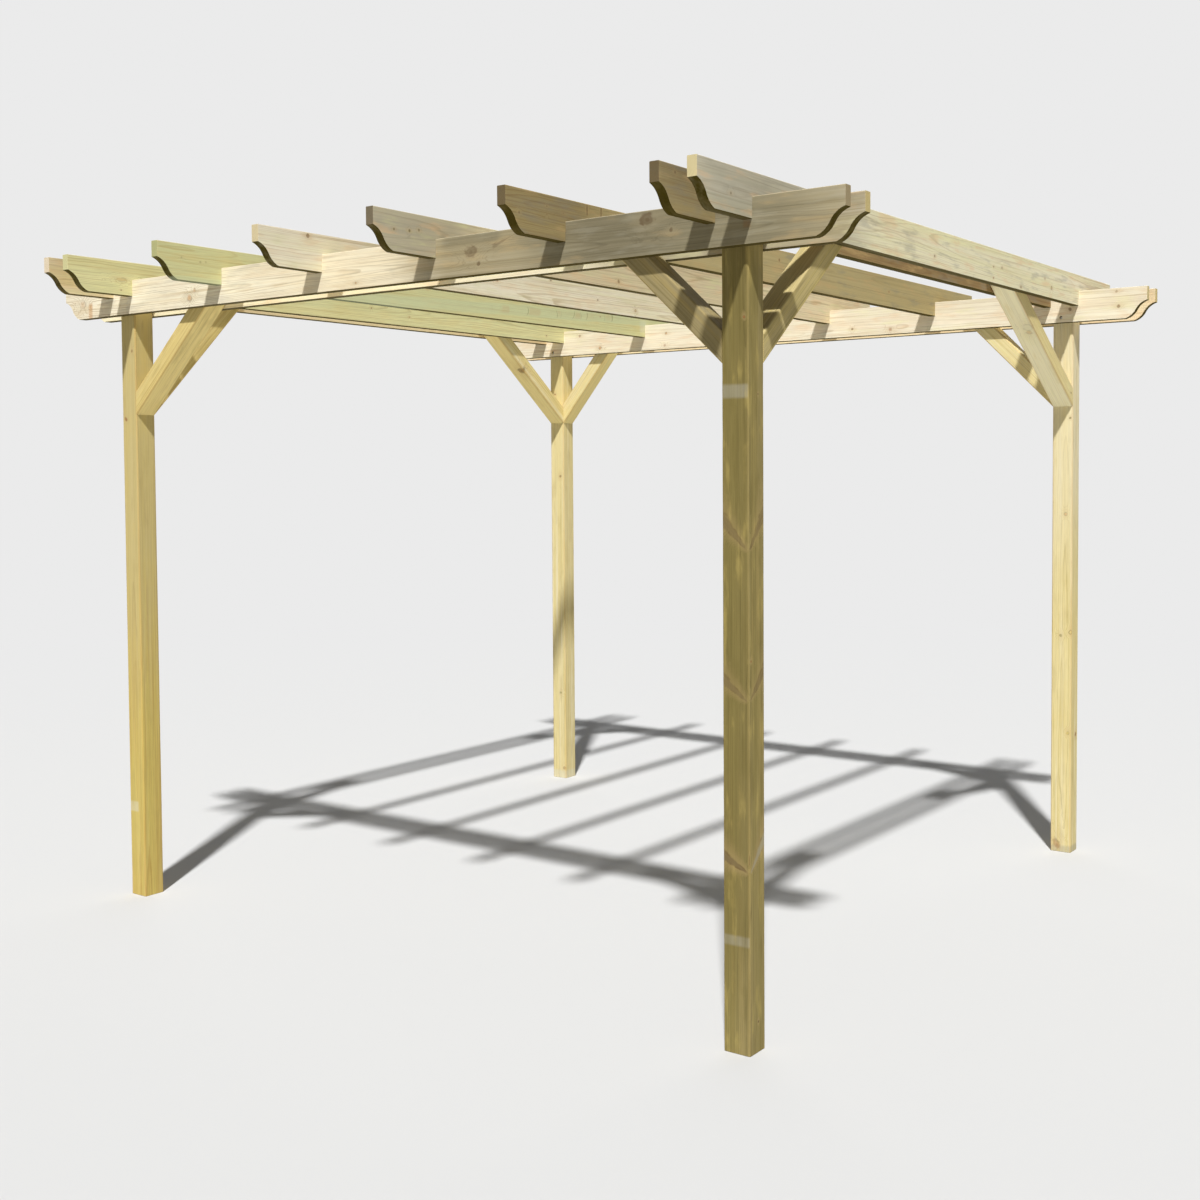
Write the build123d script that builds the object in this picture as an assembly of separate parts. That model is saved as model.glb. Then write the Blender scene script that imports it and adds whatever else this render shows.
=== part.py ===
from build123d import *
import os
from math import cos, radians, sin, tan

# A free-standing timber pergola. Four square posts stand at the corners of a square. Two pairs of
# rails run along X, one pair on either side of the front posts and one on either side of the back
# posts. Rafters run along Y, halved over the rails: a pair clasps the left posts, a pair clasps the
# right posts and the rest are spaced evenly between. Two knee braces rise from each post, one into
# the gap of the rail pair and one into the gap of the rafter pair. They were fitted post by post, so
# their feet and slopes differ a little. Every rail and rafter ends in an ogee. Millimetres, Z up. The
# origin is on the ground in the middle of the four posts.

# Posts
post_side = 95.0
post_rounding = 6.0
post_spacing_x = 3000.0
post_spacing_y = 3000.0
post_top_setback = 16.0

# Rails and rafters
timber_thickness = 34.0
timber_depth = 142.0
timber_rounding = 2.5
clear_height = 2500.0
rail_overhang = 390.0
rafter_overhang = 390.0
middle_rafters = 4

# Halved joints, where a rafter drops over a rail
halving_depth = 34.0
halving_play = 0.6

# Ogee ends
ogee_nose = 62.0
ogee_length = 100.0
ogee_corner_angle = 15.0

# Knee braces
brace_depth = 75.0
brace_rounding = 6.0
brace_top_clearance = 4.0

# How each post's braces were fitted: how far below the rails their feet are, and the slopes in degrees
# of the one to the rails and the one to the rafters
BRACE_FITS = {
    "front_left": (422.0, 42.5, 46.0),
    "front_right": (350.0, 43.0, 38.0),
    "back_left": (390.0, 50.0, 38.0),
    "back_right": (388.0, 45.0, 31.5),
}

# Heights that follow from the sizes above
rail_underside = clear_height
rail_top = rail_underside + timber_depth
rafter_underside = rail_top - 2 * halving_depth
rafter_top = rafter_underside + timber_depth
post_height = rafter_top - post_top_setback
brace_lap = rafter_underside - rail_underside - brace_top_clearance

# Places that follow from the sizes above
corner_x = post_spacing_x / 2
corner_y = post_spacing_y / 2
clasp = (post_side + timber_thickness) / 2
rail_length = post_spacing_x + 2 * rail_overhang
rafter_length = post_spacing_y + 2 * rafter_overhang

RAIL_PLACES = {
    "rail_front_outer": -corner_y - clasp,
    "rail_front_inner": -corner_y + clasp,
    "rail_back_inner": corner_y - clasp,
    "rail_back_outer": corner_y + clasp,
}

POST_PLACES = {
    "front_left": (-corner_x, -corner_y),
    "front_right": (corner_x, -corner_y),
    "back_left": (-corner_x, corner_y),
    "back_right": (corner_x, corner_y),
}


def rafter_places():
    """Centre lines of the rafters across X, from left to right."""
    first_bay_edge = -corner_x + clasp
    last_bay_edge = corner_x - clasp
    bay = (last_bay_edge - first_bay_edge) / (middle_rafters + 1)
    between = [first_bay_edge + bay * k for k in range(1, middle_rafters + 1)]
    return [-corner_x - clasp, first_bay_edge, *between, last_bay_edge, corner_x + clasp]


def make_post():
    """One square post with rounded arrises, standing on the ground at the origin."""
    return extrude(RectangleRounded(post_side, post_side, post_rounding), post_height)


def make_ogee_board(length):
    """A board on edge along X, centred, its underside at Z = 0, with an ogee cut under each end."""
    end = length / 2
    foot = Vector(end - ogee_length, 0)
    tip = Vector(end, timber_depth - ogee_nose)
    middle = (foot + tip) / 2
    lean = Vector(cos(radians(ogee_corner_angle)), sin(radians(ogee_corner_angle)))
    swell = TangentArc(foot, middle, tangent=lean)
    hollow = TangentArc(middle, tip, tangent=swell % 1)
    underside = Line((0, 0), foot)
    nose = Line(tip, (end, timber_depth))
    top = Line((end, timber_depth), (0, timber_depth))
    half = Plane.XZ * Curve([underside, swell, hollow, nose, top])
    outline = half.edges() + mirror(half, about=Plane.YZ).edges()
    board = extrude(make_face(outline), timber_thickness / 2, both=True)
    return fillet(board.edges().filter_by(Axis.X), timber_rounding)


def cut_halvings(board, places, floor_z):
    """Cuts a slot across a board along X at each place, half a joint deep and starting at floor_z."""
    slot_width = timber_thickness + halving_play
    slot = Box(slot_width, 2 * timber_thickness, halving_depth, align=(Align.CENTER, Align.CENTER, Align.MIN))
    for place in places:
        board -= Pos(place, 0, floor_z) * slot
    return board


def make_rail():
    """A rail along X with slots in its top edge, one for each rafter."""
    board = make_ogee_board(rail_length)
    return cut_halvings(board, rafter_places(), timber_depth - halving_depth)


def make_rafter():
    """A rafter along Y with slots in its bottom edge, one for each rail."""
    board = make_ogee_board(rafter_length)
    return Rot(0, 0, 90) * cut_halvings(board, RAIL_PLACES.values(), 0)


def make_brace(rise, angle):
    """A brace in the XZ plane, leaning away from a post face at X = 0, its lowest point at Z = 0.

    It is mitred upright against the post and cut level at the top. angle is its slope in degrees.
    """
    run = rise / tan(radians(angle))
    mitre = brace_depth / cos(radians(angle))
    inner_run = (rise - mitre) / tan(radians(angle))
    side = Plane.XZ * Polyline((0, 0), (run, rise), (inner_run, rise), (0, mitre), close=True)
    brace = extrude(make_face(side), post_side / 2, both=True)
    grain = Axis((0, 0, 0), (cos(radians(angle)), 0, sin(radians(angle))))
    return fillet(brace.edges().filter_by(grain), brace_rounding)


def build_posts():
    """The four posts by node name."""
    post = make_post()
    return {f"post_{corner}": Pos(x, y, 0) * post for corner, (x, y) in POST_PLACES.items()}


def build_rails():
    """The four rails by node name."""
    rail = make_rail()
    return {name: Pos(0, y, rail_underside) * rail for name, y in RAIL_PLACES.items()}


def build_rafters():
    """The rafters by node name, numbered from left to right."""
    rafter = make_rafter()
    places = enumerate(rafter_places(), start=1)
    return {f"rafter_{number}": Pos(x, 0, rafter_underside) * rafter for number, x in places}


def build_braces():
    """Two knee braces to each post by node name, both leaning towards the middle of the pergola."""
    braces = {}
    for corner, (x, y) in POST_PLACES.items():
        drop, rail_slope, rafter_slope = BRACE_FITS[corner]
        foot = rail_underside - drop
        rail_brace = make_brace(rail_underside + brace_lap - foot, rail_slope)
        rafter_brace = make_brace(rafter_underside + brace_lap - foot, rafter_slope)
        along_x = 0 if x < 0 else 180
        along_y = 90 if y < 0 else -90
        post_face = Pos(post_side / 2, 0, foot)
        braces[f"rail_brace_{corner}"] = Pos(x, y, 0) * Rot(0, 0, along_x) * post_face * rail_brace
        braces[f"rafter_brace_{corner}"] = Pos(x, y, 0) * Rot(0, 0, along_y) * post_face * rafter_brace
    return braces


nodes = build_posts() | build_rails() | build_rafters() | build_braces()

os.makedirs("parts", exist_ok=True)
for name, solid in nodes.items():
    export_step(solid, f"parts/{name}.step")
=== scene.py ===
"""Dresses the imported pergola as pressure-treated softwood and sets it up for its picture."""

import logging
import math
import random
from collections.abc import Iterable, Sequence
from dataclasses import dataclass, field, replace
from enum import Enum
from functools import reduce
from itertools import product
from typing import ClassVar

import bmesh
import bpy
from mathutils import Matrix, Vector, noise


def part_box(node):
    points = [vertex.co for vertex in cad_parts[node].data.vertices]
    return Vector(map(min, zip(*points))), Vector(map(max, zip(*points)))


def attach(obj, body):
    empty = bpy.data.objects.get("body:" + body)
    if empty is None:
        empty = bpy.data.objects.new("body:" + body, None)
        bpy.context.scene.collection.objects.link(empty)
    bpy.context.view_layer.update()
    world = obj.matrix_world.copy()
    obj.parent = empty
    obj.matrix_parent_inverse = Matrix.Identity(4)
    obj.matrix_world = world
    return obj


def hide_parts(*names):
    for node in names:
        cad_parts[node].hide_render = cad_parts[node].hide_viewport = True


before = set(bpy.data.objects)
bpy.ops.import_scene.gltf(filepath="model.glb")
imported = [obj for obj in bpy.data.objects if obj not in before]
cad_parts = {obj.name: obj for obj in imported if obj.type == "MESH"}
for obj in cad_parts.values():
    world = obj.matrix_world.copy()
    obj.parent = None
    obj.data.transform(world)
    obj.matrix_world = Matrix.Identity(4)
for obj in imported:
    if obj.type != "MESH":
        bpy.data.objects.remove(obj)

log = logging.getLogger("pergola")

MM = 0.001
X_AXIS, Y_AXIS, Z_AXIS = Vector((1, 0, 0)), Vector((0, 1, 0)), Vector((0, 0, 1))

SHARP_ANGLE = math.radians(38)
KNOT_ROOT = -0.03

Rgba = tuple[float, float, float, float]
Pair = tuple[float, float]
Socket = bpy.types.NodeSocket
Wire = Socket | float | tuple[float, ...] | Vector


class Tone(Enum):
    """The colours of the wood, its stains and its painted light and shade, as 8-bit sRGB."""

    CREAM = (246, 239, 217)
    PINK_CREAM = (247, 232, 208)
    WARM_CREAM = (240, 225, 190)
    STRAW = (234, 219, 164)
    BUTTER = (226, 207, 142)
    PAINTED_LIGHT_GOLD = (253, 234, 166)
    WHEAT = (212, 193, 112)
    SAND = (206, 190, 138)
    PAINTED_LIGHT_IVORY = (254, 247, 212)
    GOLDEN = (214, 191, 114)
    AMBER = (204, 160, 84)
    PEACH = (232, 196, 150)
    LIME_WASH = (238, 234, 182)
    SAGE = (219, 218, 166)
    FERN = (180, 184, 132)
    MOSS = (128, 122, 62)
    PAINTED_SHADE_OLIVE = (78, 68, 20)
    OLIVE_TAN = (178, 157, 100)
    KHAKI = (155, 141, 88)
    LODEN = (112, 100, 54)
    DRAB = (162, 148, 110)
    DRIFTWOOD = (172, 158, 124)
    SLATE = (146, 141, 126)
    ASH = (152, 140, 108)
    DUN_GREY = (126, 120, 98)
    SOOT = (78, 71, 54)
    SILVERED = (172, 168, 150)
    UMBER = (142, 110, 72)
    WALNUT = (106, 89, 66)
    GINGER = (204, 154, 100)
    TAN = (206, 176, 126)
    BARK = (84, 56, 34)
    RUST = (156, 98, 56)
    OATMEAL = (222, 206, 160)
    MINT = (204, 222, 190)
    CHALK = (226, 224, 204)

    @property
    def linear(self) -> Rgba:
        """The colour as linear RGBA."""
        red, green, blue = (linear(channel / 255) for channel in self.value)
        return red, green, blue, 1.0


class Side(Enum):
    """The long sides of a timber, as the outward direction across (w) and up (v) its section."""

    RIGHT = (1, 0)
    TOP = (0, 1)
    LEFT = (-1, 0)
    BOTTOM = (0, -1)


class Joint(Enum):
    """Which edge of a board its half-lap slots are cut from."""

    FROM_ABOVE = "top"
    FROM_BELOW = "bottom"


def linear(channel: float) -> float:
    """The linear value of an sRGB channel from 0 to 1."""
    return channel / 12.92 if channel <= 0.04045 else ((channel + 0.055) / 1.055) ** 2.4


@dataclass(frozen=True)
class Lie:
    """How a timber lies: where its own origin is, which way its grain runs and which way is up on it."""

    origin: Vector
    grain: Vector
    rise: Vector

    @property
    def matrix(self) -> Matrix:
        """The matrix from the timber's own axes (along, up, across) to the frame."""
        across = self.grain.cross(self.rise)
        return Matrix.Translation(self.origin) @ Matrix((self.grain, self.rise, across)).transposed().to_4x4()


@dataclass(frozen=True)
class Knot:
    """A branch buried in the timber, as a cone from a point outwards.

    It starts at (along, up, across) on the timber's own axes, in metres, and heads towards heading.
    """

    along: float
    up: float
    across: float
    radius: float
    heading: tuple[float, float, float] = (0.15, 0.0, 1.0)
    tone: Tone = Tone.UMBER
    taper: float = 0.0
    strength: float = 1.0


@dataclass(frozen=True)
class Veil:
    """A stretch of the timber in another tone, between two places along it; some veils are painted light and
    shade.
    """

    tone: Tone
    start: float
    end: float
    amount: float
    soft: float = 0.05
    side: Side | None = None
    ragged: float = 0.5
    band: Pair | None = None


@dataclass(frozen=True)
class Check:
    """A drying crack that runs with the grain in one side of the timber."""

    side: Side
    offset: float
    start: float
    end: float
    depth: float = 5 * MM
    width: float = 1.3 * MM
    wander: float = 2.5 * MM
    lip: float = 0.25 * MM


class Pattern(Enum):
    """The noises in the wood and on the screws, drawn out along the grain.

    Each says how often it changes along and across the grain, per metre, how many finer layers it has, and
    how far it is shifted to a part of the noise of its own.
    """

    KNOT_EDGE = (38, 60, 2, 0)
    KNOT_SIDE = (30, 30, 1, 4)
    WANDER = (0.42, 1.5, 2, 0)
    RIPPLE = (2.2, 14, 3, 1)
    STREAK = (0.8, 62, 4, 3)
    BROAD = (0.35, 16, 3, 5)
    FIBRE = (14, 520, 2, 7)
    THREAD = (1.5, 150, 3, 9)
    BLOTCH = (1.7, 9, 4, 11)
    MOTTLE = (5.5, 27, 4, 13)
    PLANER_RELIEF = (10, 2, 1, 17)
    PLANER_RIPPLE = (3, 1, 2, 19)
    PLANER_CHOICE = (8, 1, 1, 23)
    SPOTTING = (260, 260, 3, 0)


class Ease(Enum):
    """Where a reading starts to show and where it shows in full."""

    END_GRAIN = (0.5, 0.85)
    UNDERSIDE = (-0.08, -0.4)
    STREAK = (0.46, 0.72)
    THREAD = (0.5, 0.72)
    WASH = (0.42, 0.66)
    CLOUD = (0.44, 0.74)
    WARM = (0.52, 0.70)
    COOL = (0.48, 0.30)
    FURROW = (0.45, 0.75)
    SUMMER_WOOD = (0.3, 0.9)
    KNOT_START = (-0.004, 0.006)
    KNOT_SIDE = (0.42, 0.6)
    CHATTER_FROM = (-0.1, 0.15)
    CHATTER_TO = (1.35, 1.1)
    CHATTER_BAND = (0.032, 0.022)
    CHATTER_INSIDE = (0.026, 0.010)
    CHATTER_PATCH = (0.52, 0.62)
    CHATTER_CHOICE = (0.44, 0.52)
    CHATTER_MARK = (0.018, 0.0)
    DULL_ZINC = (0.4, 0.7)


class Bench:
    """Lays out the nodes of one tree and wires them together."""

    def __init__(self, tree: bpy.types.NodeTree) -> None:
        """Takes over an empty node tree."""
        self.tree = tree

    @classmethod
    def clearing(cls, owner: bpy.types.Material | bpy.types.World) -> "Bench":
        """Turns on the nodes of a material or world and clears away those that it came with.

        Args:
            owner: The material or world.

        Returns:
            A bench for its nodes.
        """
        owner.use_nodes = True
        owner.node_tree.nodes.clear()
        return cls(owner.node_tree)

    def node(self, kind: str, wires: dict[int | str, Wire] | None = None,
             **settings: object) -> bpy.types.Node:
        """Adds a node.

        Args:
            kind: The node's type name.
            wires: A value or another node's socket for each input, by name or place.
            settings: The node's own properties.

        Returns:
            The new node.
        """
        node = self.tree.nodes.new(kind)
        for name, value in settings.items():
            setattr(node, name, value)
        for key, value in (wires or {}).items():
            if isinstance(value, Socket):
                self.tree.links.new(value, node.inputs[key])
            else:
                node.inputs[key].default_value = value
        return node

    def math(self, operation: str, *terms: Wire) -> Socket:
        """The result of a number operation on its terms."""
        return self.node("ShaderNodeMath", dict(enumerate(terms)), operation=operation).outputs[0]

    def product(self, *factors: Wire) -> Socket:
        """Several numbers, multiplied."""
        return reduce(lambda total, factor: self.math("MULTIPLY", total, factor), factors)

    def largest(self, parts: Iterable[Socket]) -> Socket:
        """The largest of several numbers."""
        return reduce(lambda total, part: self.math("MAXIMUM", total, part), parts)

    def vector(self, operation: str, *terms: Wire) -> Socket:
        """The result of a vector operation on its terms, a number where the operation gives one."""
        node = self.node("ShaderNodeVectorMath", dict(enumerate(terms)), operation=operation)
        return node.outputs[1 if operation in ("LENGTH", "DOT_PRODUCT") else 0]

    def scaled(self, vector: Wire, size: Wire) -> Socket:
        """A vector times a number."""
        return self.node("ShaderNodeVectorMath", {0: vector, "Scale": size}, operation="SCALE").outputs[0]

    def split(self, vector: Wire) -> tuple[Socket, ...]:
        """The three parts of a vector."""
        return tuple(self.node("ShaderNodeSeparateXYZ", {0: vector}).outputs)

    def step(self, value: Wire, low: float, high: float, bottom: float = 0.0, top: float = 1.0) -> Socket:
        """Eases from bottom to top while value goes from low to high."""
        wires = {"Value": value, "From Min": low, "From Max": high, "To Min": bottom, "To Max": top}
        return self.node("ShaderNodeMapRange", wires, interpolation_type="SMOOTHSTEP").outputs[0]

    def shown(self, value: Wire, ease: Ease) -> Socket:
        """How much of a reading shows, from 0 to 1."""
        return self.step(value, *ease.value)

    def noise(self, pattern: Pattern, place: Wire, shift: float = 0.0, output: str = "Fac") -> Socket:
        """One of the noises.

        Args:
            pattern: Which noise.
            place: The place on the timber's own axes.
            shift: Moves it on, so that no two timbers are alike.
            output: The node's output, "Color" for three noises in one.

        Returns:
            The noise, about 0.5 in the mean.
        """
        along, across, layers, own_shift = pattern.value
        shift += own_shift
        where = self.vector("MULTIPLY_ADD", place, (along, across, across), (shift, shift * 1.7, shift * 0.6))
        wires = {"Vector": where, "Scale": 1.0, "Detail": layers, "Roughness": 0.55}
        return self.node("ShaderNodeTexNoise", wires).outputs[output]

    def curve(self, value: Wire, stops: Sequence[Pair]) -> Socket:
        """Reads a value off a line through some stops.

        Args:
            value: The place on the line.
            stops: The stops, each a place and a height.

        Returns:
            The height there.
        """
        node = self.node("ShaderNodeValToRGB", {0: value})
        marks = node.color_ramp.elements
        marks.remove(marks[1])
        marks[0].position = stops[0][0]
        for mark, (_, height) in zip([marks[0], *(marks.new(place) for place, _ in stops[1:])], stops):
            mark.color = (height, height, height, 1)
        return self.math("ADD", node.outputs[0], 0.0)

    def blend(self, share: Wire, first: Wire, second: Wire) -> Socket:
        """Two colours mixed by a share of the second."""
        return self.node("ShaderNodeMix", {0: share, 6: first, 7: second}, data_type="RGBA").outputs[2]

    def stain(self, colour: Wire, tone: Tone, share: Wire, amount: Wire) -> Socket:
        """A colour taken towards a tone, by the share of an amount."""
        return self.blend(self.product(share, amount), colour, tone.linear)


class KnotGroup:
    """The node group that finds how far a place lies from one knot, shared by every timber.

    Its heart, rim and halo are measured in shares of the knot's radius.
    """

    NAME = "buried_knot"
    INPUTS = {"Place": "Vector", "Start": "Vector", "Heading": "Vector", "Radius": "Float", "Taper": "Float",
              "Strength": "Float"}
    OUTPUTS = ("Bend", "Heart", "Rim", "Halo")
    HEART_EDGE = (0.4, 1.25)
    HEART_WAVES = 11.0
    RIM_PLACE = 0.95
    RIM_WIDTH = 0.4
    HALO_EDGE = (0.5, 3.0)

    @classmethod
    def get(cls) -> bpy.types.NodeTree:
        """The group, made the first time that it is asked for.

        Returns:
            The node tree of the group.
        """
        if cls.NAME in bpy.data.node_groups:
            return bpy.data.node_groups[cls.NAME]
        tree = bpy.data.node_groups.new(cls.NAME, "ShaderNodeTree")
        for name, kind in cls.INPUTS.items():
            tree.interface.new_socket(name, in_out="INPUT", socket_type=f"NodeSocket{kind}")
        for name in cls.OUTPUTS:
            tree.interface.new_socket(name, in_out="OUTPUT", socket_type="NodeSocketFloat")
        bench = Bench(tree)
        given = bench.node("NodeGroupInput").outputs
        place, start, heading, radius, taper, strength = given[:len(cls.INPUTS)]
        gap = bench.vector("SUBTRACT", place, start)
        along = bench.vector("DOT_PRODUCT", gap, heading)
        sideways = bench.vector("SUBTRACT", gap, bench.scaled(heading, along))
        uneven = bench.math("MULTIPLY_ADD", bench.noise(Pattern.KNOT_EDGE, place), 0.8, 0.6)
        growth = bench.math("MULTIPLY_ADD", along, taper, 1.0)
        scale = bench.math("DIVIDE", uneven, bench.product(radius, bench.math("MAXIMUM", growth, 0.15)))
        reach = bench.product(bench.vector("LENGTH", sideways), scale)
        drawn_out = bench.vector("LENGTH", bench.vector("MULTIPLY", sideways, (0.5, 1.0, 1.0)))
        grown = bench.shown(along, Ease.KNOT_START)
        core = bench.step(reach, *cls.HEART_EDGE, 1.0, 0.0)
        wave = bench.math("SINE", bench.product(reach, cls.HEART_WAVES))
        from_rim = bench.math("ABSOLUTE", bench.math("SUBTRACT", reach, cls.RIM_PLACE))
        rim = bench.step(from_rim, 0.0, cls.RIM_WIDTH, 1.0, 0.0)
        one_side = bench.shown(bench.noise(Pattern.KNOT_SIDE, place), Ease.KNOT_SIDE)
        halo = bench.step(bench.product(drawn_out, scale), *cls.HALO_EDGE, 1.0, 0.0)
        results = {
            "Bend": bench.math("EXPONENT", bench.product(bench.math("POWER", reach, 2.0), -0.2)),
            "Heart": bench.product(core, bench.math("MULTIPLY_ADD", wave, 0.13, 0.87), strength),
            "Rim": bench.product(rim, one_side, strength),
            "Halo": bench.product(halo, strength),
        }
        bench.node("NodeGroupOutput", {name: bench.product(part, grown) for name, part in results.items()})
        return tree


@dataclass(frozen=True)
class Figure:
    """What a material's nodes read at a place in the wood.

    place is on the timber's own axes, as along and section (up and across) are, and shift is where in the
    noise this timber is. end and down are the shares of end grain and of underside, rings and late those of
    summer wood, plain and uneven, and the others belong to the knots and the noises.
    """

    place: Socket
    along: Socket
    section: tuple[Socket, Socket]
    shift: float
    end: Socket
    down: Socket
    rings: Socket
    late: Socket
    rim: Socket
    halo: Socket
    hearts: dict[Tone, Socket]
    streak: Socket
    thread: Socket
    fibre: Socket
    blotch: Socket


@dataclass(frozen=True)
class Wood:
    """How one length of softwood looks: its tones and how its log was sawn."""

    SHIFT_STEP: ClassVar[float] = 7.31
    FIRST_SHIFT: ClassVar[float] = 2.0
    HALO_AMOUNT: ClassVar[float] = 0.3
    HEART_AMOUNT: ClassVar[float] = 0.86
    RIM_AMOUNT: ClassVar[float] = 0.5
    END_AMOUNT: ClassVar[float] = 0.8
    END_RINGS: ClassVar[float] = 0.55
    MARK_DEPTH: ClassVar[float] = -0.5
    BUMP_STRENGTH: ClassVar[float] = 0.7
    BUMP_HEIGHT: ClassVar[float] = 1.0 * MM
    ROUGHNESS: ClassVar[float] = 0.74
    SPECULAR: ClassVar[float] = 0.1
    PITH_WANDER: ClassVar[float] = 0.085
    RING_RIPPLE: ClassVar[float] = 2.2
    KNOT_BEND: ClassVar[float] = 4.5
    RING_PROFILE: ClassVar[tuple[Pair, ...]] = (
        (0.0, 0.10), (0.3, 0.0), (0.62, 0.25), (0.86, 1.0), (0.95, 0.9), (1.0, 0.12))

    pale: Tone
    dark: Tone
    streak: Tone
    tint: Tone
    pith: Pair = (0.0, 0.07)
    ring: float = 4.2 * MM
    grain: float = 0.42
    streaks: float = 0.45
    tinting: float = 0.35
    arris: Tone = Tone.WARM_CREAM
    arris_amount: float = 0.35
    end: Tone = Tone.BUTTER
    halo: Tone = Tone.TAN
    lines: float = 0.42
    warm: Tone = Tone.PEACH
    cool: Tone = Tone.SAGE
    mottling: float = 0.3
    etched: float = 0.11
    # How far the faces that look down are darkened towards olive, as painted shade.
    underside: float = 0.95
    chatter: float = 0.0
    veils: tuple[Veil, ...] = ()

    def material(self, name: str, lie: Lie, half: Pair, rounding: float, knots: Sequence[Knot],
                 seed: int) -> bpy.types.Material:
        """Makes the finish of one timber, as a solid of wood that its faces cut through.

        Args:
            name: The material's name.
            lie: How the timber lies.
            half: Half its depth and half its thickness.
            rounding: The radius of its long arrises.
            knots: The knots in it.
            seed: A number that no other timber has.

        Returns:
            The material.
        """
        material = bpy.data.materials.new(name)
        bench = Bench.clearing(material)
        figure = self._figure(bench, lie, knots, self.SHIFT_STEP * seed + self.FIRST_SHIFT)
        colour = self._weathered_and_painted_light(bench, figure, self._grown(bench, figure), half)
        colour = bench.stain(colour, self.halo, figure.halo, self.HALO_AMOUNT)
        for tone, heart in figure.hearts.items():
            colour = bench.stain(colour, tone, heart, self.HEART_AMOUNT)
        colour = bench.stain(colour, Tone.BARK, figure.rim, self.RIM_AMOUNT)

        corner = self._corner(bench, figure.section, half, rounding)
        colour = bench.stain(colour, self.arris, corner, self.arris_amount)
        sawn = bench.stain(self.end.linear, Tone.UMBER, figure.rings, self.END_RINGS)
        colour = bench.blend(bench.product(figure.end, self.END_AMOUNT), colour, sawn)
        # Painted shade: faces that look down are taken towards dark olive.
        shade = bench.math("MULTIPLY_ADD", figure.streak, 0.4, self.underside - 0.2)
        colour = bench.stain(colour, Tone.PAINTED_SHADE_OLIVE, figure.down, shade)

        height = bench.product(figure.late, 0.10)
        for part, relief in ((figure.fibre, 0.16), (figure.streak, 0.10), (figure.rim, -0.35)):
            height = bench.math("MULTIPLY_ADD", part, relief, height)
        if self.chatter:
            band, patches, marks = self._chatter(bench, figure)
            height = bench.math("MULTIPLY_ADD", marks, self.MARK_DEPTH, height)
            long_grain = bench.math("SUBTRACT", 1.0, figure.end)
            stains = (Tone.MINT, band, 0.32), (Tone.TAN, patches, 0.3), (Tone.MOSS, marks, 0.5)
            for tone, share, amount in stains:
                colour = bench.stain(colour, tone, share, bench.product(long_grain, amount * self.chatter))
        wires = {"Strength": self.BUMP_STRENGTH, "Distance": self.BUMP_HEIGHT, "Height": height}
        bump = bench.node("ShaderNodeBump", wires)

        rough = bench.math("MULTIPLY_ADD", figure.late, -0.10, self.ROUGHNESS)
        for part, duller in ((figure.end, 0.12), (figure.down, 0.2)):
            rough = bench.math("MULTIPLY_ADD", part, duller, rough)
        wires = {"Base Color": colour, "Roughness": rough, "Normal": bump.outputs[0]}
        shader = bench.node("ShaderNodeBsdfPrincipled", wires)
        shader.inputs["Specular IOR Level"].default_value = self.SPECULAR
        bench.node("ShaderNodeOutputMaterial", {"Surface": shader.outputs[0]})
        return material

    def _figure(self, bench: Bench, lie: Lie, knots: Sequence[Knot], shift: float) -> Figure:
        """Reads off where a place lies in the wood and what is there.

        Args:
            bench: The material's nodes.
            lie: How the timber lies.
            knots: The knots in it.
            shift: Where in the noise this timber is.

        Returns:
            The readings.
        """
        raw = bench.node("ShaderNodeTexCoord").outputs["Object"]
        wires = {"Vector": raw, "Location": lie.origin, "Rotation": lie.matrix.to_euler()}
        place = bench.node("ShaderNodeMapping", wires, vector_type="TEXTURE").outputs[0]
        along, up, across = bench.split(place)
        facing = bench.node("ShaderNodeNewGeometry").outputs["Normal"]
        cut = bench.math("ABSOLUTE", bench.vector("DOT_PRODUCT", facing, lie.grain))
        bend, rim, halo, hearts = self._knots(bench, place, knots)
        late, rings = self._rings(bench, place, bend, shift)
        return Figure(
            place=place, along=along, section=(up, across), shift=shift,
            end=bench.shown(cut, Ease.END_GRAIN),
            down=bench.shown(bench.split(facing)[2], Ease.UNDERSIDE),
            rings=rings, late=late, rim=rim, halo=halo, hearts=hearts,
            streak=bench.noise(Pattern.STREAK, place, shift),
            thread=bench.noise(Pattern.THREAD, place, shift),
            fibre=bench.noise(Pattern.FIBRE, place, shift),
            blotch=bench.noise(Pattern.BLOTCH, place, shift))

    def _grown(self, bench: Bench, figure: Figure) -> Socket:
        """The colour of the clean wood: rings, stripes, threads, washes and clouds, lifted by its fibres.

        Args:
            bench: The material's nodes.
            figure: The readings at a place.

        Returns:
            The colour.
        """
        broad = bench.noise(Pattern.BROAD, figure.place, figure.shift)
        colour = self.pale.linear
        for tone, share, amount in (
                (self.dark, figure.late, self.grain),
                (self.streak, bench.shown(figure.streak, Ease.STREAK), self.streaks),
                (self.dark, bench.shown(figure.thread, Ease.THREAD), self.lines),
                (self.tint, bench.shown(broad, Ease.WASH), self.tinting),
                (self.dark, bench.shown(figure.blotch, Ease.CLOUD), self.tinting * 0.6)):
            colour = bench.stain(colour, tone, share, amount)
        wires = {"Value": figure.fibre, "From Min": 0.25, "From Max": 0.75, "To Min": 0.90, "To Max": 1.09}
        return bench.scaled(colour, bench.node("ShaderNodeMapRange", wires).outputs[0])

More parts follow.
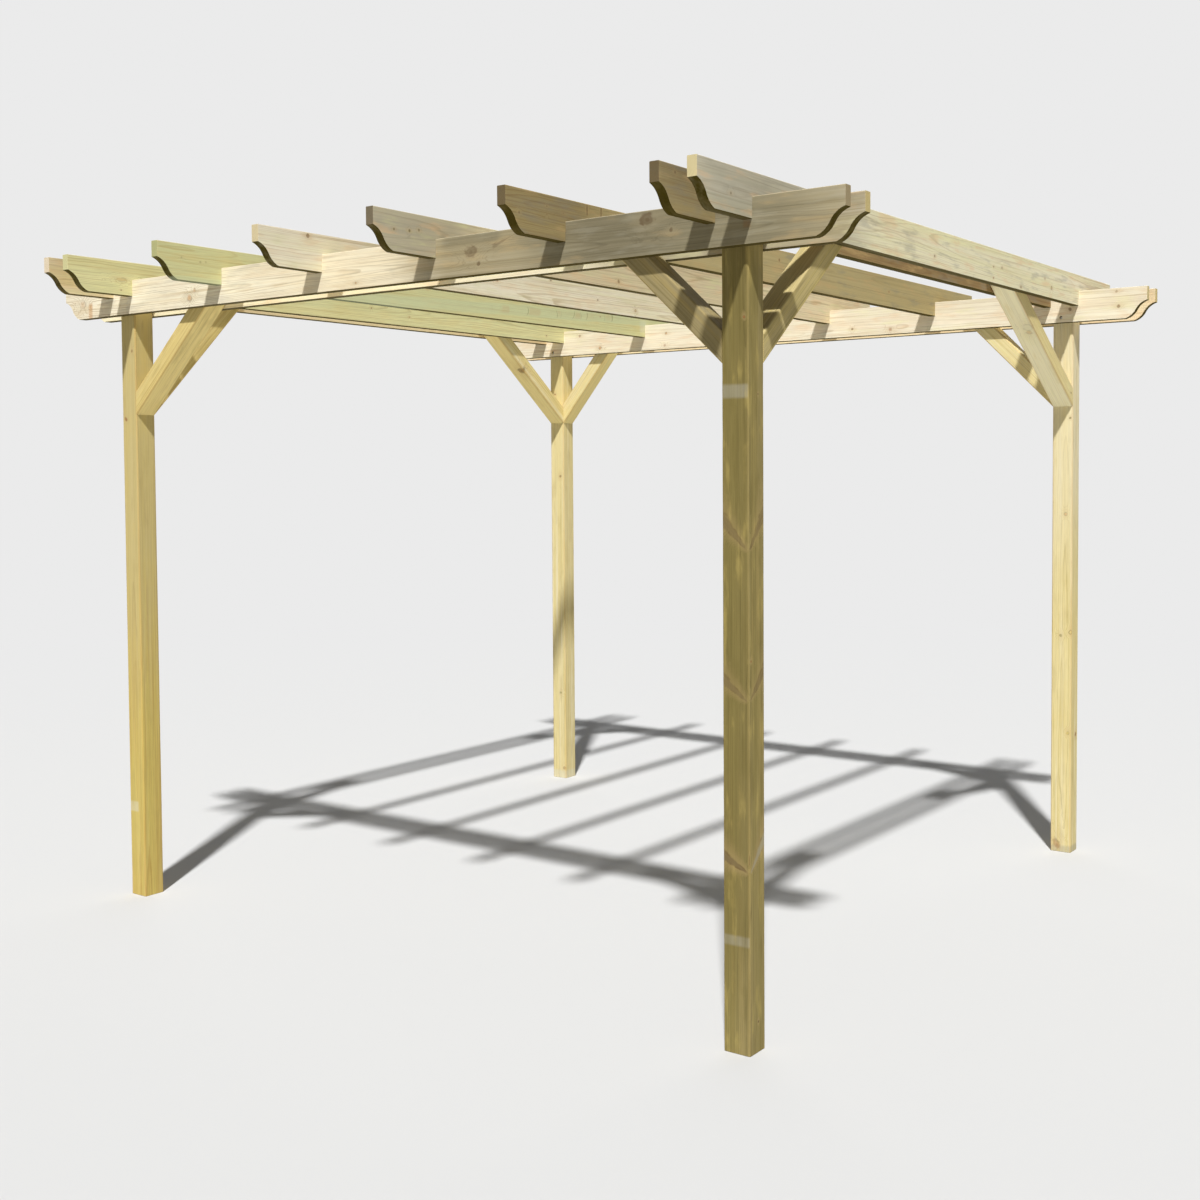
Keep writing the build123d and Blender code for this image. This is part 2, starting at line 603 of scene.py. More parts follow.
    def _weathered_and_painted_light(self, bench: Bench, figure: Figure, colour: Socket, half: Pair) -> Socket:
        """A colour after rain and sun: veils, some painted light and shade, warm and cool mottling, etched
        furrows.

        Args:
            bench: The material's nodes.
            figure: The readings at a place.
            colour: The colour of the clean wood.
            half: Half the timber's depth and half its thickness.

        Returns:
            The weathered colour.
        """
        for veil in self.veils:
            colour = bench.blend(self._veil(bench, figure, veil, half), colour, veil.tone.linear)
        mottle = bench.noise(Pattern.MOTTLE, figure.place, figure.shift)
        for tone, ease in ((self.warm, Ease.WARM), (self.cool, Ease.COOL)):
            colour = bench.stain(colour, tone, bench.shown(mottle, ease), self.mottling)
        furrows = bench.math("ADD", bench.shown(figure.thread, Ease.FURROW),
                             bench.shown(figure.late, Ease.SUMMER_WOOD))
        dimming = bench.math("MULTIPLY_ADD", furrows, -self.etched, 1.0 + 0.4 * self.etched)
        return bench.scaled(colour, dimming)

    @staticmethod
    def _knots(bench: Bench, place: Socket,
               knots: Sequence[Knot]) -> tuple[Socket, Socket, Socket, dict[Tone, Socket]]:
        """Sums up what every knot does at a place.

        Args:
            bench: The material's nodes.
            place: The place on the timber's own axes.
            knots: The knots in the timber.

        Returns:
            How far they bend the rings, the shares of rim and halo, and the share of heart by its tone.
        """
        found = [bench.node("ShaderNodeGroup", {
            "Place": place, "Start": (knot.along, knot.up, knot.across),
            "Heading": Vector(knot.heading).normalized(), "Radius": knot.radius, "Taper": knot.taper,
            "Strength": knot.strength}, node_tree=KnotGroup.get()) for knot in knots]
        bend, rim, halo = (bench.largest(node.outputs[name] for node in found)
                           for name in ("Bend", "Rim", "Halo"))
        by_tone: dict[Tone, list[Socket]] = {}
        for node, knot in zip(found, knots):
            by_tone.setdefault(knot.tone, []).append(node.outputs["Heart"])
        return bend, rim, halo, {tone: bench.largest(hearts) for tone, hearts in by_tone.items()}

    def _rings(self, bench: Bench, place: Socket, bend: Socket, shift: float) -> tuple[Socket, Socket]:
        """Cuts through the growth rings round the log's pith.

        Args:
            bench: The material's nodes.
            place: The place on the timber's own axes.
            bend: How far the knots push the rings out.
            shift: Where in the noise this timber is.

        Returns:
            The share of summer wood, with rings of uneven strength, and the plain share.
        """
        wander = bench.noise(Pattern.WANDER, place, shift, "Color")
        wander = bench.scaled(bench.vector("SUBTRACT", wander, (0.5, 0.5, 0.5)), self.PITH_WANDER)
        from_pith = bench.vector("SUBTRACT", bench.vector("ADD", place, wander), (0.0, *self.pith))
        girth = bench.vector("LENGTH", bench.vector("MULTIPLY", from_pith, (0.0, 1.0, 1.0)))
        ripple = bench.noise(Pattern.RIPPLE, place, shift)
        count = bench.math("MULTIPLY_ADD", ripple, self.RING_RIPPLE, bench.math("DIVIDE", girth, self.ring))
        count = bench.math("MULTIPLY_ADD", bend, self.KNOT_BEND, count)
        share = bench.curve(bench.math("FRACT", count), self.RING_PROFILE)
        year = bench.math("ADD", bench.math("FLOOR", count), shift)
        strength = bench.node("ShaderNodeTexWhiteNoise", {"W": year}, noise_dimensions="1D").outputs["Value"]
        return bench.product(share, bench.math("MULTIPLY_ADD", strength, 0.7, 0.3)), share

    @staticmethod
    def _veil(bench: Bench, figure: Figure, veil: Veil, half: Pair) -> Socket:
        """The share of a veil at a place.

        Args:
            bench: The material's nodes.
            figure: The readings at the place.
            veil: The veil.
            half: Half the timber's depth and half its thickness.

        Returns:
            The share, from 0 to its amount.
        """
        fraying = bench.math("SUBTRACT", figure.blotch, 0.5)
        frayed = bench.math("MULTIPLY_ADD", fraying, veil.soft * 3 * veil.ragged, figure.along)
        thinning = bench.math("SUBTRACT", figure.streak, 0.5)
        shares = [bench.step(frayed, veil.start - veil.soft, veil.start + veil.soft),
                  bench.step(frayed, veil.end - veil.soft, veil.end + veil.soft, 1.0, 0.0),
                  bench.math("MULTIPLY_ADD", thinning, veil.ragged, veil.amount)]
        if veil.side:
            outward, upward = veil.side.value
            reading, other = figure.section if upward else figure.section[::-1]
            limit = half[0] if upward else half[1]
            near = bench.product(reading, float(upward or outward))
            shares.append(bench.step(near, limit - 4 * MM, limit - 1 * MM))
            if veil.band:
                shares += [bench.step(other, edge - veil.soft, edge + veil.soft, bottom, 1.0 - bottom)
                           for edge, bottom in zip(veil.band, (0.0, 1.0))]
        return bench.node("ShaderNodeClamp", {0: bench.product(*shares)}).outputs[0]

    @staticmethod
    def _corner(bench: Bench, section: tuple[Socket, Socket], half: Pair, rounding: float) -> Socket:
        """The share of arris at a place on the section, where the arris tone is laid on.

        Args:
            bench: The material's nodes.
            section: The place, up and across.
            half: Half the timber's depth and half its thickness.
            rounding: The radius of its long arrises.

        Returns:
            The share.
        """
        return bench.product(*(
            bench.step(bench.math("ABSOLUTE", reading), limit - 1.5 * rounding, limit - 0.4 * rounding)
            for reading, limit in zip(section, half)))

    @staticmethod
    def _chatter(bench: Bench, figure: Figure) -> tuple[Socket, Socket, Socket]:
        """A band that the planer skipped along the far half, with bowed patches that end in chatter marks.

        Args:
            bench: The material's nodes.
            figure: The readings at a place.

        Returns:
            The shares of the band, of the patches in it and of the marks at their ends.
        """
        climb, level, waviness, bowing, patch_rim = 0.034, -0.035, 0.02, 18.0, 0.53
        along, up = figure.along, figure.section[0]
        waver = bench.noise(Pattern.PLANER_RIPPLE, figure.place, figure.shift)
        middle = bench.math("MULTIPLY_ADD", waver, waviness, level)
        off = bench.math("SUBTRACT", up, bench.math("MULTIPLY_ADD", along, climb, middle))
        away = bench.math("ABSOLUTE", off)
        bow = bench.node("ShaderNodeCombineXYZ", {"X": bench.product(off, off, bowing)})
        bowed = bench.vector("ADD", figure.place, bow.outputs[0])
        relief = bench.noise(Pattern.PLANER_RELIEF, bowed, figure.shift)
        chosen = bench.shown(bench.noise(Pattern.PLANER_CHOICE, bowed, figure.shift), Ease.CHATTER_CHOICE)
        reach = bench.product(bench.shown(along, Ease.CHATTER_FROM), bench.shown(along, Ease.CHATTER_TO))
        inside = bench.product(bench.shown(away, Ease.CHATTER_INSIDE), reach)
        from_rim = bench.math("ABSOLUTE", bench.math("SUBTRACT", relief, patch_rim))
        rims = bench.shown(from_rim, Ease.CHATTER_MARK)
        patches = bench.product(bench.shown(relief, Ease.CHATTER_PATCH), inside)
        return bench.shown(away, Ease.CHATTER_BAND), patches, bench.product(rims, chosen, inside)


@dataclass(frozen=True)
class Station:
    """One cut across a timber: where it is, how low and high it reaches, and how its edges are eased."""

    along: float
    low: float
    high: float
    low_rounding: float
    inset: float = 0.0


@dataclass(frozen=True)
class Mitre:
    """The two slanting ends of a brace: upright against its post and level at its top."""

    slope: float
    rise: float
    depth: float

    def along(self, share: float, up: float) -> float:
        """How far along the brace a place is.

        Args:
            share: How far it is from the foot to the top, from 0 to 1.
            up: How high it is on the brace's own section.

        Returns:
            The distance along the grain, in metres.
        """
        offset = up + self.depth / 2
        start = offset * math.tan(self.slope)
        stop = (self.rise - offset * math.cos(self.slope)) / math.sin(self.slope)
        return start + (stop - start) * share


@dataclass
class Section:
    """A timber's cross-section, as points that run its whole length, with more points for each crack."""

    half_thickness: float
    rounding: float
    arc_steps: int = 4
    columns: tuple[float, ...] = (0.0,)
    rows: tuple[float, ...] = (0.25, 0.5, 0.75)
    checks: tuple[Check, ...] = ()

    def outline(self, station: Station) -> list[tuple[Vector, Side | None]]:
        """The points of the section, going round from the foot of the right side.

        Args:
            station: The cut across the timber.

        Returns:
            Each point as (along, up, across), and the side that it is on, or None on an arris.
        """
        a, high_r, low_r = self.half_thickness - station.inset, self.rounding, station.low_rounding
        low, high = station.low + station.inset, station.high - station.inset
        spots = self._side(station, Side.RIGHT, a, (low + low_r, high - high_r))
        spots += self._corner(station, (a - high_r, high - high_r), high_r, 0)
        spots += [(Vector((station.along, high, (a - high_r) * share)), Side.TOP)
                  for share in (1.0, *self.columns[::-1], -1.0)]
        spots += self._corner(station, (high_r - a, high - high_r), high_r, 90)
        spots += self._side(station, Side.LEFT, -a, (low + low_r, high - high_r))[::-1]
        spots += self._corner(station, (low_r - a, low + low_r), low_r, 180)
        spots += [(Vector((station.along, low, (a - low_r) * share)), Side.BOTTOM)
                  for share in (-1.0, *self.columns, 1.0)]
        spots += self._corner(station, (a - low_r, low + low_r), low_r, 270)
        return spots

    def _corner(self, station: Station, centre: Pair, radius: float,
                start: float) -> list[tuple[Vector, None]]:
        """The points of a rounded arris, without its two ends.

        Args:
            station: The cut across the timber.
            centre: The middle of the arc, as (across, up).
            radius: Its radius.
            start: The angle at which it begins, in degrees.

        Returns:
            The points.
        """
        angles = [math.radians(start + 90 * k / self.arc_steps) for k in range(1, self.arc_steps)]
        across, up = centre
        return [(Vector((station.along, up + radius * math.sin(t), across + radius * math.cos(t))), None)
                for t in angles]

    def _side(self, station: Station, side: Side, across: float, ends: Pair) -> list[tuple[Vector, Side]]:
        """The points up one wide side, opened where a crack runs through.

        Args:
            station: The cut across the timber.
            side: Which side it is.
            across: How far out it is.
            ends: Where it starts and stops.

        Returns:
            The points, from the bottom up.
        """
        heights = [ends[0], *(station.low + (station.high - station.low) * f for f in self.rows), ends[1]]
        spots = [Vector((station.along, up, across)) for up in heights]
        for check in self.checks:
            if check.side is not side:
                continue
            reach = (station.along - check.start) / (check.end - check.start)
            gape = math.sin(math.pi * reach) ** 0.6 if 0 < reach < 1 else 0.0
            drift = noise.noise(Vector((station.along * 2.3, check.offset * 90, 0.4)))
            middle = check.offset + check.wander * drift
            flank = check.lip + check.width / 2 * gape
            bottom = math.copysign(abs(across) - check.depth * gape, across)
            spots += [Vector((station.along, up, out))
                      for up, out in ((middle - flank, across), (middle, bottom), (middle + flank, across))]
        return [(spot, side) for spot in sorted(spots, key=lambda spot: spot.y)]


@dataclass
class Loft:
    """A timber's surface, stretched over its sections one station after another."""

    section: Section
    stations: list[Station]
    slots: tuple[Pair, ...] = ()
    joint: Joint = Joint.FROM_ABOVE
    slot_row: float = 0.0
    mitre: Mitre | None = None
    wear: float = 0.35 * MM
    bruising: float = 3.0
    bruised_from: float = 0.22
    seed: int = 0

    def build(self, name: str, lie: Lie) -> bpy.types.Object:
        """Builds the surface and lays it in the frame.

        Args:
            name: The piece's name.
            lie: How the timber lies.

        Returns:
            The new object.
        """
        points: list[Vector] = []
        for station in self.stations:
            ring = self.section.outline(station)
            points += [lie.matrix @ self._worn(spot, side) for spot, side in ring]
        count = len(ring)
        last = len(points) - count
        faces: list[list[int]] = [list(range(count)), list(range(last, last + count))]
        for k, (near, far) in enumerate(zip(self.stations, self.stations[1:])):
            here, there = k * count, (k + 1) * count
            if any(start < (near.along + far.along) / 2 < stop for start, stop in self.slots):
                faces += self._slot(here, there, near)
            else:
                faces += [[here + i, here + (i + 1) % count, there + (i + 1) % count, there + i]
                          for i in range(count)]
        return finished(name, points, faces)

    def _slot(self, here: int, there: int, near: Station) -> list[list[int]]:
        """The faces of a half-lap slot: what is left of the sides, the slot's floor and its two walls.

        Args:
            here: The number of the nearer section's first point.
            there: The number of the farther section's first point.
            near: The nearer station.

        Returns:
            The faces.
        """
        level = near.low + (near.high - near.low) * self.slot_row
        above = self.joint is Joint.FROM_ABOVE
        heights = [spot.y for spot, _ in self.section.outline(near)]
        keep = [up <= level + 0.01 * MM if above else up >= level - 0.01 * MM for up in heights]
        count = len(keep)
        faces = [[here + i, here + (i + 1) % count, there + (i + 1) % count, there + i]
                 for i in range(count) if keep[i] and keep[(i + 1) % count]]
        first = next(i for i in range(count) if keep[i] and not keep[(i + 1) % count])
        wall = [first]
        while not keep[wall[-1]] or len(wall) == 1:
            wall.append((wall[-1] + 1) % count)
        faces.append([here + wall[0], here + wall[-1], there + wall[-1], there + wall[0]])
        return [*faces, [here + i for i in wall], [there + i for i in wall]]

    def _worn(self, spot: Vector, side: Side | None) -> Vector:
        """A point drawn in a little by planing, and more where an arris is bruised.

        Args:
            spot: The point on the timber's own axes.
            side: The side that it is on, or None on an arris.

        Returns:
            The point after wear.
        """
        if self.mitre:
            spot = Vector((self.mitre.along(spot.x, spot.y), spot.y, spot.z))
        seed = Vector((self.seed * 3.1, 0.7, 1.9))
        slow = 0.5 + 0.5 * noise.noise(Vector((spot.x * 3.1, spot.y * 21, spot.z * 21)) + seed)
        if side:
            across, up = side.value
            return spot - Vector((0, up, across)) * self.wear * slow
        inward = Vector((0, -spot.y, -spot.z)).normalized()
        quick = noise.noise(Vector((spot.x * 15, spot.y * 9, spot.z * 9)) + seed * 2)
        return spot + inward * self.wear * (slow + self.bruising * max(0.0, quick - self.bruised_from))


def finished(name: str, points: Sequence[Vector], faces: Sequence[Sequence[int]]) -> bpy.types.Object:
    """Makes an object of points and faces, its normals outwards and its rounded arrises shaded round.

    Args:
        name: The object's name.
        points: Its points, in the frame.
        faces: Its faces, by the points' numbers.

    Returns:
        The object, linked to the scene.
    """
    mesh = bpy.data.meshes.new(name)
    mesh.from_pydata([tuple(point) for point in points], [], [list(face) for face in faces])
    shell = bmesh.new()
    shell.from_mesh(mesh)
    bmesh.ops.recalc_face_normals(shell, faces=shell.faces)
    shell.to_mesh(mesh)
    shell.free()
    mesh.shade_smooth()
    piece = in_scene(name, mesh)
    shade(piece)
    return piece


def in_scene(name: str, data: bpy.types.ID) -> bpy.types.Object:
    """Makes an object and puts it in the scene.

    Args:
        name: The object's name.
        data: Its mesh, lamp or camera.

    Returns:
        The object.
    """
    thing = bpy.data.objects.new(name, data)
    bpy.context.scene.collection.objects.link(thing)
    return thing


def shade(piece: bpy.types.Object) -> None:
    """Shades a piece's rounded arrises round and its flat faces flat."""
    piece.data.set_sharp_from_angle(angle=SHARP_ANGLE)
    piece.modifiers.new("flat_faces", "WEIGHTED_NORMAL").keep_sharp = True


def spread(start: float, stop: float, pitch: float) -> list[float]:
    """Places from start to stop, both included, about a pitch apart."""
    count = max(1, round((stop - start) / pitch))
    return [start + (stop - start) * k / count for k in range(count + 1)]


@dataclass
class Timber:
    """One length of wood: the CAD node that it stands for, its shape, how it lies and how it looks."""

    node: str
    slot: str
    loft: Loft
    lie: Lie
    wood: Wood
    half: Pair
    knots: Sequence[Knot]

    def build(self) -> bpy.types.Object:
        """Builds the timber, gives it its finish and puts it in its node's place.

        Returns:
            The piece.
        """
        piece = self.loft.build(f"{self.node}_timber", self.lie)
        piece.data.materials.append(self.wood.material(
            f"{self.node}_wood", self.lie, self.half, self.loft.section.rounding, self.knots, self.loft.seed))
        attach(piece, "root")
        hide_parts(self.node)
        log.info("%s: %d faces, %d knots", piece.name, len(piece.data.polygons), len(self.knots))
        return piece


def board_knots(seed: int, half_length: float, many: int, small: float = 4 * MM,
                large: float = 11 * MM) -> tuple[Knot, ...]:
    """Knots scattered along a board, each through its thickness.

    Args:
        seed: A number that no other board has.
        half_length: Half the board's length.
        many: How many knots there are.
        small: The least radius.
        large: The greatest radius.

    Returns:
        The knots.
    """
    draw = random.Random(seed)
    knots = []
    for k in range(many):
        along = half_length * (2 * (k + draw.uniform(0.15, 0.85)) / many - 1)
        heading = (draw.uniform(-0.3, 0.3), draw.uniform(-0.2, 0.2), draw.choice((-1.0, 1.0)))
        radius = small + (large - small) * draw.random() ** 2
        tone = draw.choice((Tone.UMBER, Tone.RUST, Tone.TAN))
        knots.append(Knot(along, draw.uniform(-0.055, 0.055), KNOT_ROOT * heading[2], radius, heading, tone))
    return tuple(knots)


def face_knot(along: float, up: float, radius: float, tone: Tone = Tone.UMBER, strength: float = 1.0) -> Knot:
    """A knot that comes out on the right side of a board, its radius in millimetres."""
    return Knot(along, up, KNOT_ROOT, radius * MM, tone=tone, strength=strength)


def post_knots(seed: int, height: float, pith: Pair, many: int) -> tuple[Knot, ...]:
    """Knots scattered up a post, each growing out of its pith.

    Args:
        seed: A number that no other post has.
        height: The post's height.
        pith: Where the pith is in the section.
        many: How many knots there are.

    Returns:
        The knots.
    """
    draw = random.Random(seed)
    knots = []
    for k in range(many):
        turn = draw.uniform(0, math.tau)
        heading = (draw.uniform(0.2, 0.7), math.cos(turn), math.sin(turn))
        along = height * (k + draw.uniform(0.2, 0.8)) / many
        knots.append(Knot(along, pith[0], pith[1], draw.uniform(1.5, 3) * MM, heading, Tone.RUST, 40.0))
    return tuple(knots)


@dataclass(frozen=True)
class Board:
    """The shape that rails and rafters share: a board on edge with an ogee cut under each end."""

    depth: float = 0.142
    thickness: float = 0.034
    rounding: float = 2.5 * MM
    cut_rounding: float = 0.5 * MM
    nose: float = 0.062
    ogee_length: float = 0.100
    ogee_lean: float = math.radians(15)
    ogee_steps: int = 12
    slot_depth: float = 0.034
    slot_width: float = 0.0346
    pitch: float = 0.045

    def ogee(self) -> list[Pair]:
        """The line of the ogee, swelling out and then hollow.

        Returns:
            Points from its foot to its tip, each how far along and how high above the underside.
        """
        run, climb = self.ogee_length / 2, (self.depth - self.nose) / 2
        turn = 2 * (math.atan2(climb, run) - self.ogee_lean)
        radius = math.hypot(run, climb) / (2 * math.sin(turn / 2))
        angles = [self.ogee_lean + turn * k / self.ogee_steps for k in range(self.ogee_steps + 1)]
        low, high = math.sin(self.ogee_lean), math.cos(self.ogee_lean)
        swell = [(radius * (math.sin(t) - low), radius * (high - math.cos(t))) for t in angles]
        hollow = [(2 * run - along, 2 * climb - up) for along, up in reversed(swell[:-1])]
        return swell + hollow

    def loft(self, half_length: float, crossings: Sequence[float], joint: Joint, seed: int,
             checks: tuple[Check, ...] = ()) -> Loft:
        """The surface of a board of a given length.

        Args:
            half_length: Half its length.
            crossings: Where the boards that it is halved over cross it.
            joint: Which edge its slots are cut from.
            seed: A number that no other timber has.
            checks: The drying cracks in it.

        Returns:
            The surface, ready to build.
        """
        bottom, top = -self.depth / 2, self.depth / 2
        foot = half_length - self.ogee_length
        end = [Station(foot + along, bottom + up, top, self.cut_rounding) for along, up in self.ogee()[1:]]
        tip = end.pop()
        end.append(replace(tip, along=half_length - self.cut_rounding))
        end.append(replace(tip, along=half_length, inset=self.cut_rounding))
        half_slot = self.slot_width / 2
        slots = tuple((place - half_slot, place + half_slot) for place in sorted(crossings))
        walls = [-foot, *(wall for slot in slots for wall in slot), foot]
        places = sorted({round(place, 6) for bay in zip(walls, walls[1:])
                         for place in spread(*bay, self.pitch)})
        straight = [Station(place, bottom, top, self.rounding) for place in places]
        start = [replace(station, along=-station.along) for station in reversed(end)]
        share = self.slot_depth / self.depth
        section = Section(self.thickness / 2, self.rounding, rows=(0.12, share, 0.4, 0.58, 1 - share, 0.88),
                          checks=checks)
        slot_row = 1 - share if joint is Joint.FROM_ABOVE else share
        return Loft(section, start + straight + end, slots, joint, slot_row, seed=seed)


def middle_of(node: str) -> Vector:
    """The middle of a CAD node's box."""
    low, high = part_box(node)
    return (low + high) / 2


def half_of(node: str) -> Vector:
    """Half the size of a CAD node's box."""
    low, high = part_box(node)
    return (high - low) / 2


RAIL_NODES = ("rail_front_outer", "rail_front_inner", "rail_back_inner", "rail_back_outer")
RAFTER_NODES = tuple(f"rafter_{number}" for number in range(1, 9))
CORNERS = ("front_left", "front_right", "back_left", "back_right")


@dataclass
class Posts:
    """The four posts, each cut with its own pith, so that knots and rings agree on all its faces."""

    side: float = 0.095
    rounding: float = 6 * MM
    end_inset: float = 1 * MM
    pitch: float = 0.045
    seed: int = 11
    woods: dict[str, Wood] = field(default_factory=lambda: POST_WOODS)
    marked: dict[str, tuple[Knot, ...]] = field(default_factory=lambda: POST_KNOTS)
    checks: dict[str, tuple[Check, ...]] = field(default_factory=lambda: POST_CHECKS)

    def timbers(self) -> list[Timber]:
        """The four posts, ready to build."""
        return [self._post(corner, self.seed + k) for k, corner in enumerate(CORNERS)]

    def _post(self, corner: str, seed: int) -> Timber:
        """One post.

        Args:
            corner: Which corner it stands at.
            seed: A number that no other timber has.

        Returns:
            The post, ready to build.
        """
        node = f"post_{corner}"
        middle, height, half = middle_of(node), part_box(node)[1].z, self.side / 2
        wood = self.woods[corner]
        places = [0.0, *spread(self.end_inset, height - self.end_inset, self.pitch), height]
        insets = {0.0: self.end_inset, height: self.end_inset}
        stations = [Station(place, -half, half, self.rounding, insets.get(place, 0.0)) for place in places]
        section = Section(half, self.rounding, 6, (-0.5, 0.0, 0.5), checks=self.checks.get(corner, ()))
        lie = Lie(Vector((middle.x, middle.y, 0)), Z_AXIS, X_AXIS)
        knots = self.marked.get(corner, ()) + post_knots(seed, height, wood.pith, 3)
        return Timber(node, "post_timber", Loft(section, stations, seed=seed), lie, wood, (half, half), knots)


@dataclass
class Rails:
    """The two pairs of rails, slotted from above where the rafters cross."""

    board: Board = Board()
    seed: int = 23
    woods: dict[str, Wood] = field(default_factory=lambda: RAIL_WOODS)
    marked: dict[str, tuple[Knot, ...]] = field(default_factory=lambda: RAIL_KNOTS)

    def timbers(self) -> list[Timber]:
        """Sets out the four rails.

        Returns:
            The rails, ready to build.
        """
        crossings = [middle_of(rafter).x for rafter in RAFTER_NODES]
        timbers = []
        for seed, node in enumerate(RAIL_NODES, start=self.seed):
            middle, half = middle_of(node), half_of(node)
            loft = self.board.loft(half.x, [place - middle.x for place in crossings], Joint.FROM_ABOVE, seed)
            knots = self.marked.get(node) or board_knots(seed, half.x, 8)
            timbers.append(Timber(node, "rail_timber", loft, Lie(middle, X_AXIS, Z_AXIS), self.woods[node],
                                  (half.z, half.y), knots))
        return timbers


@dataclass
class Rafters:
    """The eight rafters, slotted from below where they drop over the rails."""

    board: Board = Board()
    seed: int = 41
    woods: dict[str, Wood] = field(default_factory=lambda: RAFTER_WOODS)
    marked: dict[str, tuple[Knot, ...]] = field(default_factory=lambda: RAFTER_KNOTS)

    def timbers(self) -> list[Timber]:
        """Sets out the eight rafters.

        Returns:
            The rafters, ready to build.
        """
        crossings = [middle_of(rail).y for rail in RAIL_NODES]
        timbers = []
        for seed, node in enumerate(RAFTER_NODES, start=self.seed):
            middle, half = middle_of(node), half_of(node)
            loft = self.board.loft(half.y, [place - middle.y for place in crossings], Joint.FROM_BELOW, seed)
            knots = self.marked.get(node, ()) + board_knots(seed, half.y * 0.75, 4, large=8 * MM)
            timbers.append(Timber(node, "rafter_timber", loft, Lie(middle, Y_AXIS, Z_AXIS), self.woods[node],
                                  (half.z, half.x), knots))
        return timbers


@dataclass
class KneeBraces:
    """The eight knee braces, two from each post, mitred upright at the foot and level at the top."""

    depth: float = 0.075
    rounding: float = 6 * MM
    steps: int = 16
    seed: int = 61
    woods: dict[str, Wood] = field(default_factory=lambda: BRACE_WOODS)
    marked: dict[str, tuple[Knot, ...]] = field(default_factory=lambda: BRACE_KNOTS)

    def timbers(self) -> list[Timber]:
        """The eight braces, ready to build."""
        pairs = enumerate(product(CORNERS, ("rail_brace", "rafter_brace")), start=self.seed)
        return [self._brace(kind, corner, seed) for seed, (corner, kind) in pairs]

    def _brace(self, kind: str, corner: str, seed: int) -> Timber:
        """One brace.

        Args:
            kind: Whether it rises to the rails or to the rafters.
            corner: Which post it rises from.
            seed: A number that no other timber has.

        Returns:
            The brace, ready to build.
        """
        node = f"{kind}_{corner}"
        (low, high), middle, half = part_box(node), middle_of(node), half_of(node)
        along_x = kind == "rail_brace"
        out = X_AXIS if along_x else Y_AXIS
        starts_low = ("left" if along_x else "front") in corner
        run = 2 * half.dot(out)
        slope = math.atan2(high.z - low.z, run)
        lean = out if starts_low else -out
        grain = lean * math.cos(slope) + Z_AXIS * math.sin(slope)
        rise = Z_AXIS * math.cos(slope) - lean * math.sin(slope)
        foot = middle - lean * run / 2
        foot.z = low.z
        lie = Lie(foot + rise * self.depth / 2, grain, rise)
        width = half.y if along_x else half.x
        places = [0.0, 0.004, *spread(0.01, 0.99, 1 / self.steps), 0.996, 1.0]
        stations = [Station(place, -self.depth / 2, self.depth / 2, self.rounding) for place in places]
        section = Section(width, self.rounding, 6, (-0.5, 0.0, 0.5), (0.33, 0.67))
        loft = Loft(section, stations, mitre=Mitre(slope, high.z - low.z, self.depth), seed=seed)
        knots = self.marked.get(node, ()) + board_knots(seed, 0.1, 1, 3 * MM, 6 * MM)
        wood = self.woods.get(node, self.woods[corner])
        return Timber(node, "brace_timber", loft, lie, wood, (self.depth / 2, width), knots)


